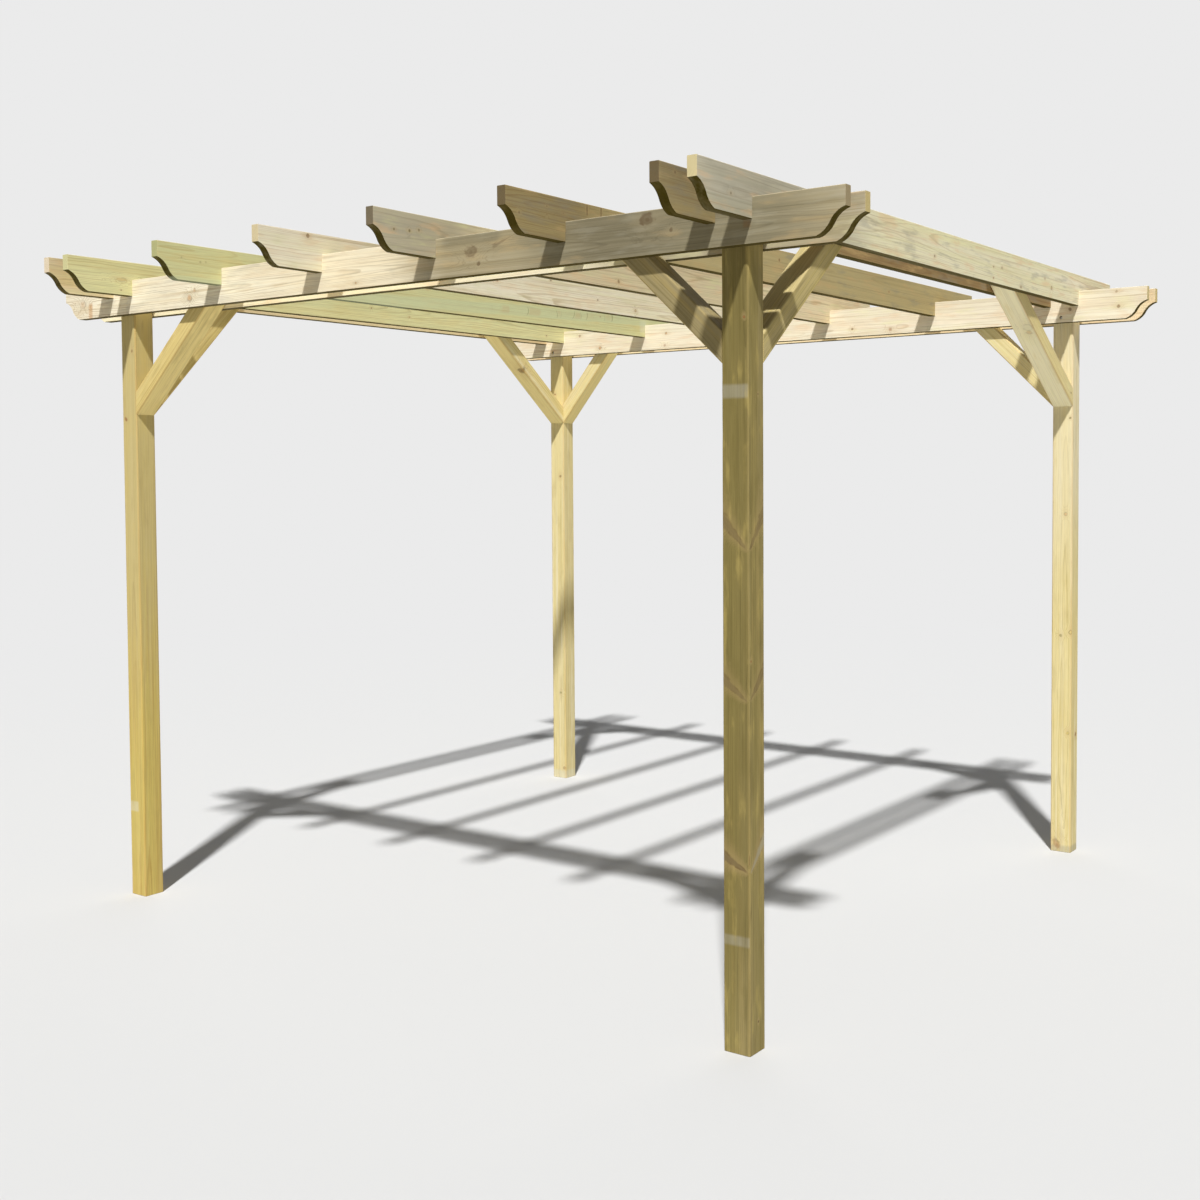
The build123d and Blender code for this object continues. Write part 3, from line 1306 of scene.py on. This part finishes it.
@dataclass(frozen=True)
class SunkScrew:
    """A screw sunk in a bored hole through an inner rail into its post.

    head_shape gives each ring of its head, as a share of the head's radius and a height in millimetres.
    """

    height: float = 0.024
    bore_radius: float = 7 * MM
    bore_depth: float = 9 * MM
    head_radius: float = 5.2 * MM
    head_shape: tuple[Pair, ...] = ((0.55, -1.8), (1.0, 0.2), (1.0, 1.2), (0.93, 1.9), (0.72, 2.4),
                                    (0.44, 2.6), (0.40, 2.2), (0.36, 0.9))
    segments: int = 28
    lobes: int = 6
    lobe_depth: float = 0.16

    def place_all(self, rails: dict[str, bpy.types.Object]) -> None:
        """Bores both inner rails at both posts and sets a screw head in each hole.

        Args:
            rails: The rail pieces by node name.
        """
        for node, facing in (("rail_front_inner", 1.0), ("rail_back_inner", -1.0)):
            low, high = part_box(node)
            face = high.y if facing > 0 else low.y
            out = Y_AXIS * facing
            spots = [Vector((middle_of(f"post_{corner}").x, face, low.z + self.height))
                     for corner in CORNERS if corner.startswith(node.split("_")[1])]
            for spot in spots:
                self._bore(rails[node], spot, out)
            for side, spot in zip(("left", "right"), spots):
                self._head(f"screw_{node}_{side}", spot - out * self.bore_depth, out)

    def _turned(self, name: str, base: Vector, out: Vector, profile: Sequence[Pair],
                star: int = 0) -> bpy.types.Object:
        """A turned shape.

        Args:
            name: The object's name.
            base: The point on its axis that heights are measured from.
            out: The way its axis points.
            profile: Radius and height of each ring, from the foot to the crown.
            star: How many of the last rings are lobed, as the recess for a driver.

        Returns:
            The object.
        """
        upwards = out.cross(X_AXIS)
        points = []
        n = self.segments
        for number, (radius, height) in enumerate(profile):
            lobing = self.lobe_depth if number >= len(profile) - star else 0.0
            for k in range(n):
                turn = math.tau * k / n
                reach = radius * (1 + lobing * math.cos(self.lobes * turn))
                around = X_AXIS * math.cos(turn) + upwards * math.sin(turn)
                points.append(base + out * height + around * reach)
        faces = [[k * n + i, k * n + (i + 1) % n, (k + 1) * n + (i + 1) % n, (k + 1) * n + i]
                 for k in range(len(profile) - 1) for i in range(n)]
        faces += [list(range(n)), list(range(len(points) - n, len(points)))]
        return finished(name, points, faces)

    def _bore(self, rail: bpy.types.Object, spot: Vector, out: Vector) -> None:
        """Cuts one hole into a rail.

        Args:
            rail: The rail piece.
            spot: The middle of the hole on the rail's face.
            out: The way the face looks.
        """
        profile = ((self.bore_radius * 0.55, -self.bore_depth - 2 * MM), (self.bore_radius, -self.bore_depth),
                   (self.bore_radius, -0.8 * MM), (self.bore_radius + 2 * MM, 1.2 * MM))
        drill = self._turned("drill", spot, out, profile)
        drill.modifiers.clear()
        rail.modifiers.clear()
        cut = rail.modifiers.new("bore", "BOOLEAN")
        cut.object, cut.operation, cut.solver = drill, "DIFFERENCE", "EXACT"
        solid = rail.evaluated_get(bpy.context.evaluated_depsgraph_get())
        bored = bpy.data.meshes.new_from_object(solid)
        rail.modifiers.clear()
        rail.data = bored
        shade(rail)
        bpy.data.objects.remove(drill)

    def _head(self, name: str, base: Vector, out: Vector) -> None:
        """Makes one screw head, seated at the bottom of its hole.

        Args:
            name: The piece's name.
            base: The middle of the hole's floor.
            out: The way the hole opens.
        """
        profile = [(self.head_radius * share, height * MM) for share, height in self.head_shape]
        head = self._turned(name, base, out, profile, star=3)
        head.data.materials.append(Zinc().material())
        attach(head, "root")
        log.info("%s: %d faces", head.name, len(head.data.polygons))


@dataclass(frozen=True)
class Zinc:
    """Bright zinc plating, a little dulled and spotted."""

    bright: Rgba = (0.78, 0.79, 0.78, 1.0)
    dull: Rgba = (0.42, 0.41, 0.37, 1.0)

    def material(self) -> bpy.types.Material:
        """The plating, made the first time that it is asked for.

        Returns:
            The material.
        """
        if "zinc_plate" in bpy.data.materials:
            return bpy.data.materials["zinc_plate"]
        material = bpy.data.materials.new("zinc_plate")
        bench = Bench.clearing(material)
        cloud = bench.noise(Pattern.SPOTTING, bench.node("ShaderNodeTexCoord").outputs["Object"])
        colour = bench.blend(bench.shown(cloud, Ease.DULL_ZINC), self.bright, self.dull)
        rough = bench.step(cloud, 0.3, 0.8, 0.26, 0.5)
        shader = bench.node("ShaderNodeBsdfPrincipled", {"Base Color": colour, "Roughness": rough})
        shader.inputs["Metallic"].default_value = 1.0
        bench.node("ShaderNodeOutputMaterial", {"Surface": shader.outputs[0]})
        return material


@dataclass(frozen=True)
class Lamp:
    """A far, broad lamp.

    It shines from heading: degrees round from the front towards the right, and degrees up. spread is how
    broad it looks from the object, in degrees.
    """

    name: str
    strength: float
    heading: Pair
    spread: float
    distance: float = 20.0

    def hang(self) -> None:
        """Adds the lamp to the scene."""
        data = bpy.data.lights.new(self.name, "SUN")
        data.energy, data.angle = self.strength, math.radians(self.spread)
        lamp = in_scene(self.name, data)
        turn, climb = (math.radians(angle) for angle in self.heading)
        level = math.cos(climb)
        source = Vector((math.sin(turn) * level, -math.cos(turn) * level, math.sin(climb)))
        lamp.location = source * self.distance
        lamp.rotation_euler = (-source).to_track_quat("-Z", "Y").to_euler()


@dataclass(frozen=True)
class Studio:
    """A pale floor that fades into a pale surround, a high key lamp, a low, broad fill and a lamp behind."""

    white: Rgba = (1.0, 1.0, 1.0, 1.0)
    surround: float = 0.83
    floor_colour: Rgba = (0.70, 0.70, 0.695, 1.0)
    bounce_colour: Rgba = (0.60, 0.575, 0.51, 1.0)
    fade: Pair = (4.5, 11.0)
    floor_radius: float = 60.0
    skylight: Rgba = (0.94, 0.97, 1.0, 1.0)
    skylight_strength: float = 0.06
    lamps: tuple[Lamp, ...] = (
        Lamp("key_lamp", 3.9, (31.0, 55.0), 2.5),
        Lamp("fill_lamp", 0.12, (60.0, 4.0), 70.0),
        Lamp("back_lamp", 0.62, (205.0, 34.0), 60.0),
    )

    def build(self) -> None:
        """Makes the floor, the surround and the lamps."""
        self._floor()
        self._surround()
        for lamp in self.lamps:
            lamp.hang()

    def _floor(self) -> None:
        """Lays the floor, which turns into the surround with its distance from the middle."""
        disc = bmesh.new()
        bmesh.ops.create_circle(disc, cap_ends=True, segments=96, radius=self.floor_radius)
        mesh = bpy.data.meshes.new("studio_floor")
        disc.to_mesh(mesh)
        disc.free()
        floor = in_scene("studio_floor", mesh)
        material = bpy.data.materials.new("studio_floor")
        bench = Bench.clearing(material)
        place = bench.node("ShaderNodeTexCoord").outputs["Object"]
        gone = bench.step(bench.vector("LENGTH", place), *self.fade)
        seen = bench.node("ShaderNodeLightPath").outputs["Is Camera Ray"]
        near = bench.node("ShaderNodeBsdfDiffuse", {"Color": self.floor_colour}).outputs[0]
        far = bench.node("ShaderNodeEmission", {"Color": self.white, "Strength": self.surround}).outputs[0]
        bounce = bench.node("ShaderNodeBsdfDiffuse", {"Color": self.bounce_colour}).outputs[0]
        shown = bench.node("ShaderNodeMixShader", {0: gone, 1: near, 2: far}).outputs[0]
        surface = bench.node("ShaderNodeMixShader", {0: seen, 1: bounce, 2: shown}).outputs[0]
        bench.node("ShaderNodeOutputMaterial", {"Surface": surface})
        floor.data.materials.append(material)

    def _surround(self) -> None:
        """Sets the world: pale where it is seen, and a soft skylight on the object."""
        world = bpy.data.worlds.new("surround")
        bench = Bench.clearing(world)
        rays = bench.node("ShaderNodeLightPath").outputs
        seen = bench.math("MAXIMUM", rays["Is Camera Ray"], rays["Is Glossy Ray"])
        light, view = (bench.node("ShaderNodeBackground", {"Color": colour, "Strength": strength}).outputs[0]
                       for colour, strength in ((self.skylight, self.skylight_strength),
                                                (self.white, self.surround)))
        mixed = bench.node("ShaderNodeMixShader", {0: seen, 1: light, 2: view})
        bench.node("ShaderNodeOutputWorld", {"Surface": mixed.outputs[0]})
        bpy.context.scene.world = world


@dataclass(frozen=True)
class Viewpoint:
    """Where the photograph was taken from: low, in front of the right-hand front post."""

    spot: tuple[float, float, float] = (3.8213, -5.4558, 1.8164)
    turn: float = 36.692
    tilt: float = -2.315
    roll: float = -0.413
    lens: float = 44.11
    sensor: float = 36.0
    shift: Pair = (0.01555, -0.05641)

    def build(self) -> None:
        """Sets up the camera and makes it the scene's."""
        turn, tilt, roll = (math.radians(angle) for angle in (self.turn, self.tilt, self.roll))
        ahead = Vector((-math.sin(turn) * math.cos(tilt), math.cos(turn) * math.cos(tilt), math.sin(tilt)))
        level = Vector((math.cos(turn), math.sin(turn), 0))
        above = level.cross(ahead)
        right = level * math.cos(roll) + above * math.sin(roll)
        up = above * math.cos(roll) - level * math.sin(roll)
        data = bpy.data.cameras.new("viewpoint")
        data.lens, data.sensor_width = self.lens, self.sensor
        data.shift_x, data.shift_y = self.shift
        camera = in_scene("viewpoint", data)
        turned = Matrix((right, up, -ahead)).transposed().to_4x4()
        camera.matrix_world = Matrix.Translation(Vector(self.spot)) @ turned
        bpy.context.scene.camera = camera


def post_wood(pale: Tone, dark: Tone, streak: Tone, tint: Tone, pith: Pair, *veils: Veil) -> Wood:
    """The wood of a post, with bright, rounded arrises and wide rings."""
    return Wood(pale, dark, streak, tint, pith, ring=6.5 * MM, streaks=0.6, lines=0.4, arris=Tone.AMBER,
                arris_amount=0.3, warm=Tone.GOLDEN, cool=Tone.OLIVE_TAN, mottling=0.22, veils=veils)


POST_WOODS = {
    "front_left": post_wood(Tone.WHEAT, Tone.AMBER, Tone.BUTTER, Tone.OLIVE_TAN, (0.01, -0.012),
                            Veil(Tone.SAND, 1.1, 2.9, 0.7, 0.5),
                            Veil(Tone.CHALK, 0.365, 0.408, 0.4, 6 * MM, Side.LEFT, 0.4, (-0.06, 0.010))),
    # The front-right post is painted darker and more olive than the other posts, partly its own weathered
    # colour and partly painted shade, and its left side is darker still under a loden veil, which is painted
    # shade.
    "front_right": replace(post_wood(Tone.KHAKI, Tone.LODEN, Tone.OLIVE_TAN, Tone.DRAB, (0.037, -0.036),
                                     Veil(Tone.LODEN, 0.15, 2.9, 0.55, 0.3, Side.LEFT),
                                     Veil(Tone.SILVERED, 2.043, 2.084, 0.5, 6 * MM, Side.LEFT, 0.5),
                                     Veil(Tone.SILVERED, 0.342, 0.373, 0.4, 6 * MM, Side.LEFT, 0.5)),
                           cool=Tone.LODEN, mottling=0.3, arris=Tone.OLIVE_TAN, arris_amount=0.2),
    "back_left": post_wood(Tone.STRAW, Tone.GOLDEN, Tone.CREAM, Tone.BUTTER, (-0.008, 0.006),
                           Veil(Tone.STRAW, 1.6, 2.9, 0.5, 0.4),
                           Veil(Tone.CHALK, -0.1, 0.045, 0.5, 9 * MM)),
    "back_right": post_wood(Tone.STRAW, Tone.GOLDEN, Tone.CREAM, Tone.BUTTER, (0.012, -0.008),
                            Veil(Tone.CREAM, 1.5, 2.9, 0.4, 0.4),
                            Veil(Tone.SILVERED, -0.1, 0.03, 0.5, 9 * MM)),
}

SPIKE = {"radius": 4 * MM, "tone": Tone.WALNUT, "taper": 28.0, "strength": 0.62}
POST_KNOTS = {
    "front_left": (Knot(2.33, 0.02, 0.0, 4 * MM, (0.4, 0.1, -1.0), Tone.UMBER, 8.0),),
    "front_right": (
        Knot(1.572, 0.044, -0.043, heading=(0.10, -0.093, 0.0), **SPIKE),
        Knot(1.575, 0.044, -0.043, heading=(0.113, 0.0, 0.085), **SPIKE),
        Knot(1.108, 0.042, -0.043, heading=(0.063, -0.085, 0.0), **SPIKE),
        Knot(1.112, 0.044, -0.040, heading=(0.075, 0.0, 0.075), **SPIKE),
        Knot(0.575, 0.044, -0.043, 4 * MM, (0.045, -0.09, 0.0), Tone.WALNUT, 30.0, 0.9),
        Knot(0.575, 0.044, -0.040, 4 * MM, (0.085, 0.0, 0.075), Tone.SILVERED, 26.0, 0.8),
        Knot(0.60, 0.045, -0.045, 3 * MM, (1.0, 0.0, 0.0), Tone.BARK, -18.0, 0.8),
        Knot(2.053, 0.037, 0.012, 2.5 * MM, (0.2, 1.0, -0.1), Tone.WALNUT, 6.0),
        Knot(0.095, 0.037, 0.0, 3 * MM, (0.2, 1.0, 0.5), Tone.WALNUT, 6.0),
    ),
    "back_left": (
        Knot(1.785, 0.0, 0.0, 3 * MM, (0.25, 0.45, -1.0), Tone.UMBER, 30.0),
        Knot(0.505, 0.0, 0.0, 3 * MM, (0.1, 0.3, -1.0), Tone.MOSS, 26.0, 0.7),
        Knot(0.055, 0.0, 0.0, 4 * MM, (0.1, 0.8, -1.0), Tone.RUST, 20.0, 0.6),
    ),
    "back_right": (
        Knot(2.045, 0.012, -0.008, 2.5 * MM, (0.3, 0.6, -1.0), Tone.MOSS, 12.0),
        Knot(1.59, 0.012, -0.008, 3 * MM, (0.4, 0.1, -1.0), Tone.GINGER, 40.0, 0.6),
        Knot(1.02, 0.012, -0.008, 3 * MM, (0.3, -0.4, -1.0), Tone.MOSS, 28.0, 0.7),
        Knot(1.03, 0.012, -0.008, 3 * MM, (0.5, 0.8, -1.0), Tone.BUTTER, 30.0),
        Knot(0.55, 0.012, -0.008, 3 * MM, (0.5, 0.5, -1.0), Tone.GOLDEN, 30.0),
        Knot(0.0, 0.012, -0.008, 5 * MM, (0.8, -0.7, -1.0), Tone.RUST, 40.0, 0.7),
    ),
}
POST_CHECKS = {
    "front_left": (Check(Side.RIGHT, 0.006, 0.7, 1.5), Check(Side.LEFT, -0.02, 2.2, 2.69, 4 * MM, 1.0 * MM)),
    "front_right": (Check(Side.LEFT, 0.036, 1.1, 1.2, 3 * MM, 1.2 * MM), Check(Side.RIGHT, -0.01, 0.3, 1.3)),
    "back_left": (Check(Side.RIGHT, 0.012, 1.0, 2.1),),
    "back_right": (Check(Side.RIGHT, -0.014, 0.2, 1.0), Check(Side.RIGHT, 0.02, 1.9, 2.5, 4 * MM, 1.0 * MM)),
}

PALE_RAIL = Wood(Tone.CREAM, Tone.TAN, Tone.WARM_CREAM, Tone.PINK_CREAM, (0.01, 0.075), grain=0.45,
                 cool=Tone.LIME_WASH, mottling=0.36)
RAIL_WOODS = {
    # Towards its right end the front outer rail is painted greyer and darker, partly weathering and partly
    # painted shade; the umber patch from 1.55 to 1.575, under the last rafter, is a painted shadow with a
    # drip stain, and the grey band high up from 0.34 to 0.60 is a darker patch.
    "rail_front_outer": replace(PALE_RAIL, pith=(-0.02, 0.06), end=Tone.DRIFTWOOD, halo=Tone.DRIFTWOOD,
                                warm=Tone.TAN, cool=Tone.SILVERED, mottling=0.28, etched=0.16, veils=(
        Veil(Tone.WARM_CREAM, -0.6, 2.0, 0.45, 0.3), Veil(Tone.ASH, 0.2, 2.0, 0.88, 0.16),
        Veil(Tone.DUN_GREY, 0.74, 1.75, 0.68, 0.12),
        Veil(Tone.SOOT, 0.92, 1.25, 0.24, 0.1),
        Veil(Tone.DUN_GREY, 0.34, 0.60, 0.5, 20 * MM, Side.RIGHT, 0.8, (0.035, 0.12)),
        Veil(Tone.GINGER, -1.724, -1.698, 0.6, 7 * MM, Side.RIGHT, 0.5, (-0.12, -0.006)),
        Veil(Tone.UMBER, 1.55, 1.575, 0.5, 6 * MM, Side.RIGHT, 0.5, (-0.02, 0.01)))),
    "rail_front_inner": replace(PALE_RAIL, tint=Tone.LIME_WASH, pith=(0.05, 0.05),
                                veils=(Veil(Tone.ASH, 0.9, 2.0, 0.75, 0.15),)),
    "rail_back_inner": replace(PALE_RAIL, streak=Tone.PINK_CREAM, pith=(-0.04, 0.055)),
    "rail_back_outer": replace(PALE_RAIL, pale=Tone.WARM_CREAM, pith=(0.03, -0.07)),
}
RAIL_KNOTS = {
    "rail_front_outer": (
        face_knot(-1.775, -0.007, 19, Tone.GINGER, 0.4),
        face_knot(-1.052, -0.031, 14, Tone.GINGER, 0.8),
        face_knot(-1.02, -0.004, 8, Tone.GINGER, 0.45),
        Knot(0.43, 0.010, KNOT_ROOT, 20 * MM, (0.8, 0.0, 1.0), Tone.WALNUT, strength=0.8),
        face_knot(0.495, -0.032, 8, Tone.WALNUT),
        Knot(0.565, 0.018, 0.016, 9 * MM, (0.86, 0.30, 0.0), Tone.WALNUT, -12.0, 0.55),
        Knot(1.165, 0.041, KNOT_ROOT, 20 * MM, (0.8, 0.0, 1.0), Tone.WALNUT),
        face_knot(1.284, 0.0, 7, Tone.WALNUT),
        face_knot(-0.10, -0.05, 4, Tone.GINGER),
    ),
    "rail_back_inner": (
        face_knot(-1.31, 0.037, 8, Tone.RUST, 0.7),
        face_knot(-1.165, -0.038, 9, Tone.GINGER), face_knot(-0.71, 0.018, 7, Tone.GINGER),
        face_knot(-0.72, -0.048, 8, Tone.RUST, 0.6), face_knot(0.425, -0.031, 6),
        face_knot(0.634, -0.047, 10, Tone.RUST, 0.7), face_knot(1.535, -0.011, 7),
        face_knot(1.757, -0.011, 8), face_knot(1.747, 0.055, 7, strength=0.7),
    ),
}

GREEN_RAFTER = Wood(Tone.LIME_WASH, Tone.GOLDEN, Tone.SAGE, Tone.SAGE, (0.0, -0.06), warm=Tone.BUTTER)
PALE_RAFTER = Wood(Tone.CREAM, Tone.TAN, Tone.WARM_CREAM, Tone.LIME_WASH, (0.02, -0.07), grain=0.45)
GREY_RAFTER = Wood(Tone.DRAB, Tone.UMBER, Tone.DRIFTWOOD, Tone.OLIVE_TAN, (0.0, -0.06), grain=0.5,
                   warm=Tone.TAN, cool=Tone.SLATE, mottling=0.45, end=Tone.SOOT, arris=Tone.TAN)
RAFTER_WOODS = {
    "rafter_1": replace(PALE_RAFTER, pale=Tone.OATMEAL, streak=Tone.PEACH, tint=Tone.PINK_CREAM,
                        end=Tone.PINK_CREAM),
    "rafter_2": replace(GREEN_RAFTER, pith=(0.02, -0.05), end=Tone.SAGE),
    "rafter_3": replace(GREEN_RAFTER, pale=Tone.SAGE, pith=(0.05, -0.06), chatter=1.0, end=Tone.FERN, veils=(
        Veil(Tone.CHALK, 1.37, 1.43, 0.45, 12 * MM, Side.RIGHT, 0.6, (-0.045, 0.02)),)),
    "rafter_4": replace(PALE_RAFTER, pith=(-0.03, -0.06), end=Tone.OATMEAL),
    # Rafters 5 to 8, by the front-right corner, are painted greyer and darker than the others, with silvered
    # front ends on 5 and 8, the grey rafter wood on 6 and 7 and an umber veil on 7: partly weathering and
    # partly painted shade.
    "rafter_5": replace(PALE_RAFTER, pale=Tone.WARM_CREAM, end=Tone.SOOT, mottling=0.45,
                        veils=(Veil(Tone.SILVERED, -2.0, -1.4, 0.7, 0.1),
                               Veil(Tone.DRIFTWOOD, -1.5, 0.6, 0.3, 0.4))),
    "rafter_6": replace(GREY_RAFTER, pith=(0.03, -0.05), veils=(Veil(Tone.SAND, -1.4, 2.0, 0.6, 0.2),)),
    "rafter_7": replace(GREY_RAFTER, pith=(-0.05, -0.05), veils=(Veil(Tone.UMBER, -1.4, 2.0, 0.5, 0.2),)),
    "rafter_8": replace(PALE_RAFTER, streak=Tone.LIME_WASH, end=Tone.STRAW, pith=(0.01, -0.08),
                        cool=Tone.SILVERED, mottling=0.45,
                        veils=(Veil(Tone.SILVERED, -2.0, -0.9, 0.75, 0.25),
                               Veil(Tone.LIME_WASH, -0.9, 1.2, 0.35, 0.3))),
}
RAFTER_KNOTS = {
    "rafter_2": (
        face_knot(-1.644, -0.05, 3, Tone.BARK),
        Knot(-1.80, -0.006, KNOT_ROOT, 8 * MM, (3.5, 0.0, 1.0), Tone.AMBER, strength=0.45),
    ),
    "rafter_3": (
        face_knot(-1.783, 0.018, 4, Tone.MOSS, 0.4),
        face_knot(-1.692, 0.009, 4, Tone.MOSS, 0.4),
        face_knot(-1.665, 0.012, 4, Tone.MOSS, 0.4),
    ),
    "rafter_4": (
        face_knot(-1.657, 0.058, 7), face_knot(-0.188, 0.04, 4),
        face_knot(0.171, -0.016, 4),
    ),
    "rafter_5": (
        face_knot(-1.797, 0.005, 5, Tone.LODEN, 0.9),
        face_knot(-1.721, 0.009, 5, Tone.LODEN),
        face_knot(-1.673, 0.017, 5, Tone.LODEN, 0.8),
    ),
    "rafter_6": (
        Knot(-1.884, 0.013, 0.017, 1 * MM, (1.0, -0.01, 0.0), Tone.BARK, strength=0.4),
        Knot(-1.461, 0.032, 0.017, 2.5 * MM, (0.0, 1.0, 0.0), Tone.BARK, strength=0.9),
        Knot(-1.381, 0.030, 0.017, 2.5 * MM, (0.0, 1.0, 0.0), Tone.BARK, strength=0.9),
        face_knot(-1.687, 0.033, 3, Tone.WALNUT, 0.7),
        face_knot(-1.83, -0.006, 4, Tone.WALNUT, 0.6),
        face_knot(-1.687, 0.006, 3, Tone.WALNUT, 0.5),
        face_knot(-1.60, 0.022, 3, Tone.WALNUT, 0.5),
    ),
    "rafter_7": (face_knot(-1.812, 0.049, 4, Tone.BARK, 0.6),),
    "rafter_8": (
        face_knot(-1.711, -0.012, 5, Tone.WALNUT, 0.7), face_knot(0.356, -0.005, 4),
        face_knot(0.448, 0.001, 5), face_knot(0.667, -0.056, 6), face_knot(0.960, 0.007, 4),
    ),
}

# Painted light: every brace's bottom side has a pale veil that lifts the faces which look down, gold on most,
# butter on the front-right rail brace and ivory on the back-right pair.
GOLD_BRACE = Wood(Tone.STRAW, Tone.GOLDEN, Tone.CREAM, Tone.BUTTER, (0.03, 0.03), ring=5 * MM, streaks=0.6,
                  lines=0.45, arris=Tone.AMBER, underside=0.0, warm=Tone.BUTTER, cool=Tone.LIME_WASH,
                  veils=(Veil(Tone.PAINTED_LIGHT_GOLD, -0.3, 1.5, 0.85, 0.05, Side.BOTTOM, 0.3),))
BRACE_WOODS = {
    "front_left": replace(GOLD_BRACE, pale=Tone.BUTTER, dark=Tone.AMBER, streak=Tone.GOLDEN, tint=Tone.WHEAT,
                          warm=Tone.GOLDEN, cool=Tone.OLIVE_TAN),
    # The front-right braces are painted darker and greyer than the others, the rail brace most, partly their
    # own colour and partly painted shade.
    "front_right": replace(GOLD_BRACE, pale=Tone.DRAB, dark=Tone.LODEN, streak=Tone.OLIVE_TAN,
                           tint=Tone.KHAKI, warm=Tone.OLIVE_TAN, cool=Tone.DUN_GREY, arris=Tone.OLIVE_TAN,
                           veils=(Veil(Tone.BUTTER, -0.3, 1.5, 0.7, 0.05, Side.BOTTOM, 0.3),)),
    "back_left": replace(GOLD_BRACE, pith=(-0.02, 0.04)),
    "back_right": replace(GOLD_BRACE, pith=(0.02, -0.03),
                          veils=(Veil(Tone.PAINTED_LIGHT_IVORY, -0.3, 1.5, 0.95, 0.05, Side.BOTTOM, 0.3),)),
    "rafter_brace_front_right": replace(GOLD_BRACE, pale=Tone.SAND, dark=Tone.KHAKI, streak=Tone.WHEAT,
                                        tint=Tone.OLIVE_TAN, warm=Tone.BUTTER, cool=Tone.DRAB,
                                        arris=Tone.SAND),
}
BRACE_KNOTS = {
    "rafter_brace_back_right": (
        Knot(0.625, 0.0, -0.022, 24 * MM, (0.05, -1.0, 0.0), Tone.CHALK, strength=0.35),
        Knot(0.59, 0.0, -0.018, 13 * MM, (0.05, -1.0, 0.0), Tone.AMBER, strength=0.5),
    ),
    "rafter_brace_back_left": (Knot(0.469, 0.0, -0.012, 21 * MM, (0.0, -1.0, -0.55), Tone.UMBER),),
}


def main() -> None:
    """Builds the pergola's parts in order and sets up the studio."""
    logging.basicConfig(level=logging.INFO, format="%(name)s: %(message)s")
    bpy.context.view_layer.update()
    pieces: dict[str, bpy.types.Object] = {}
    for group in (Posts(), Rails(), Rafters(), KneeBraces()):
        pieces |= {timber.node: timber.build() for timber in group.timbers()}
    SunkScrew().place_all(pieces)
    Studio().build()
    Viewpoint().build()
    bpy.context.scene.view_settings.view_transform = "Standard"
    log.info("%d timbers in place", len(pieces))


if __name__ == "__main__":
    main()
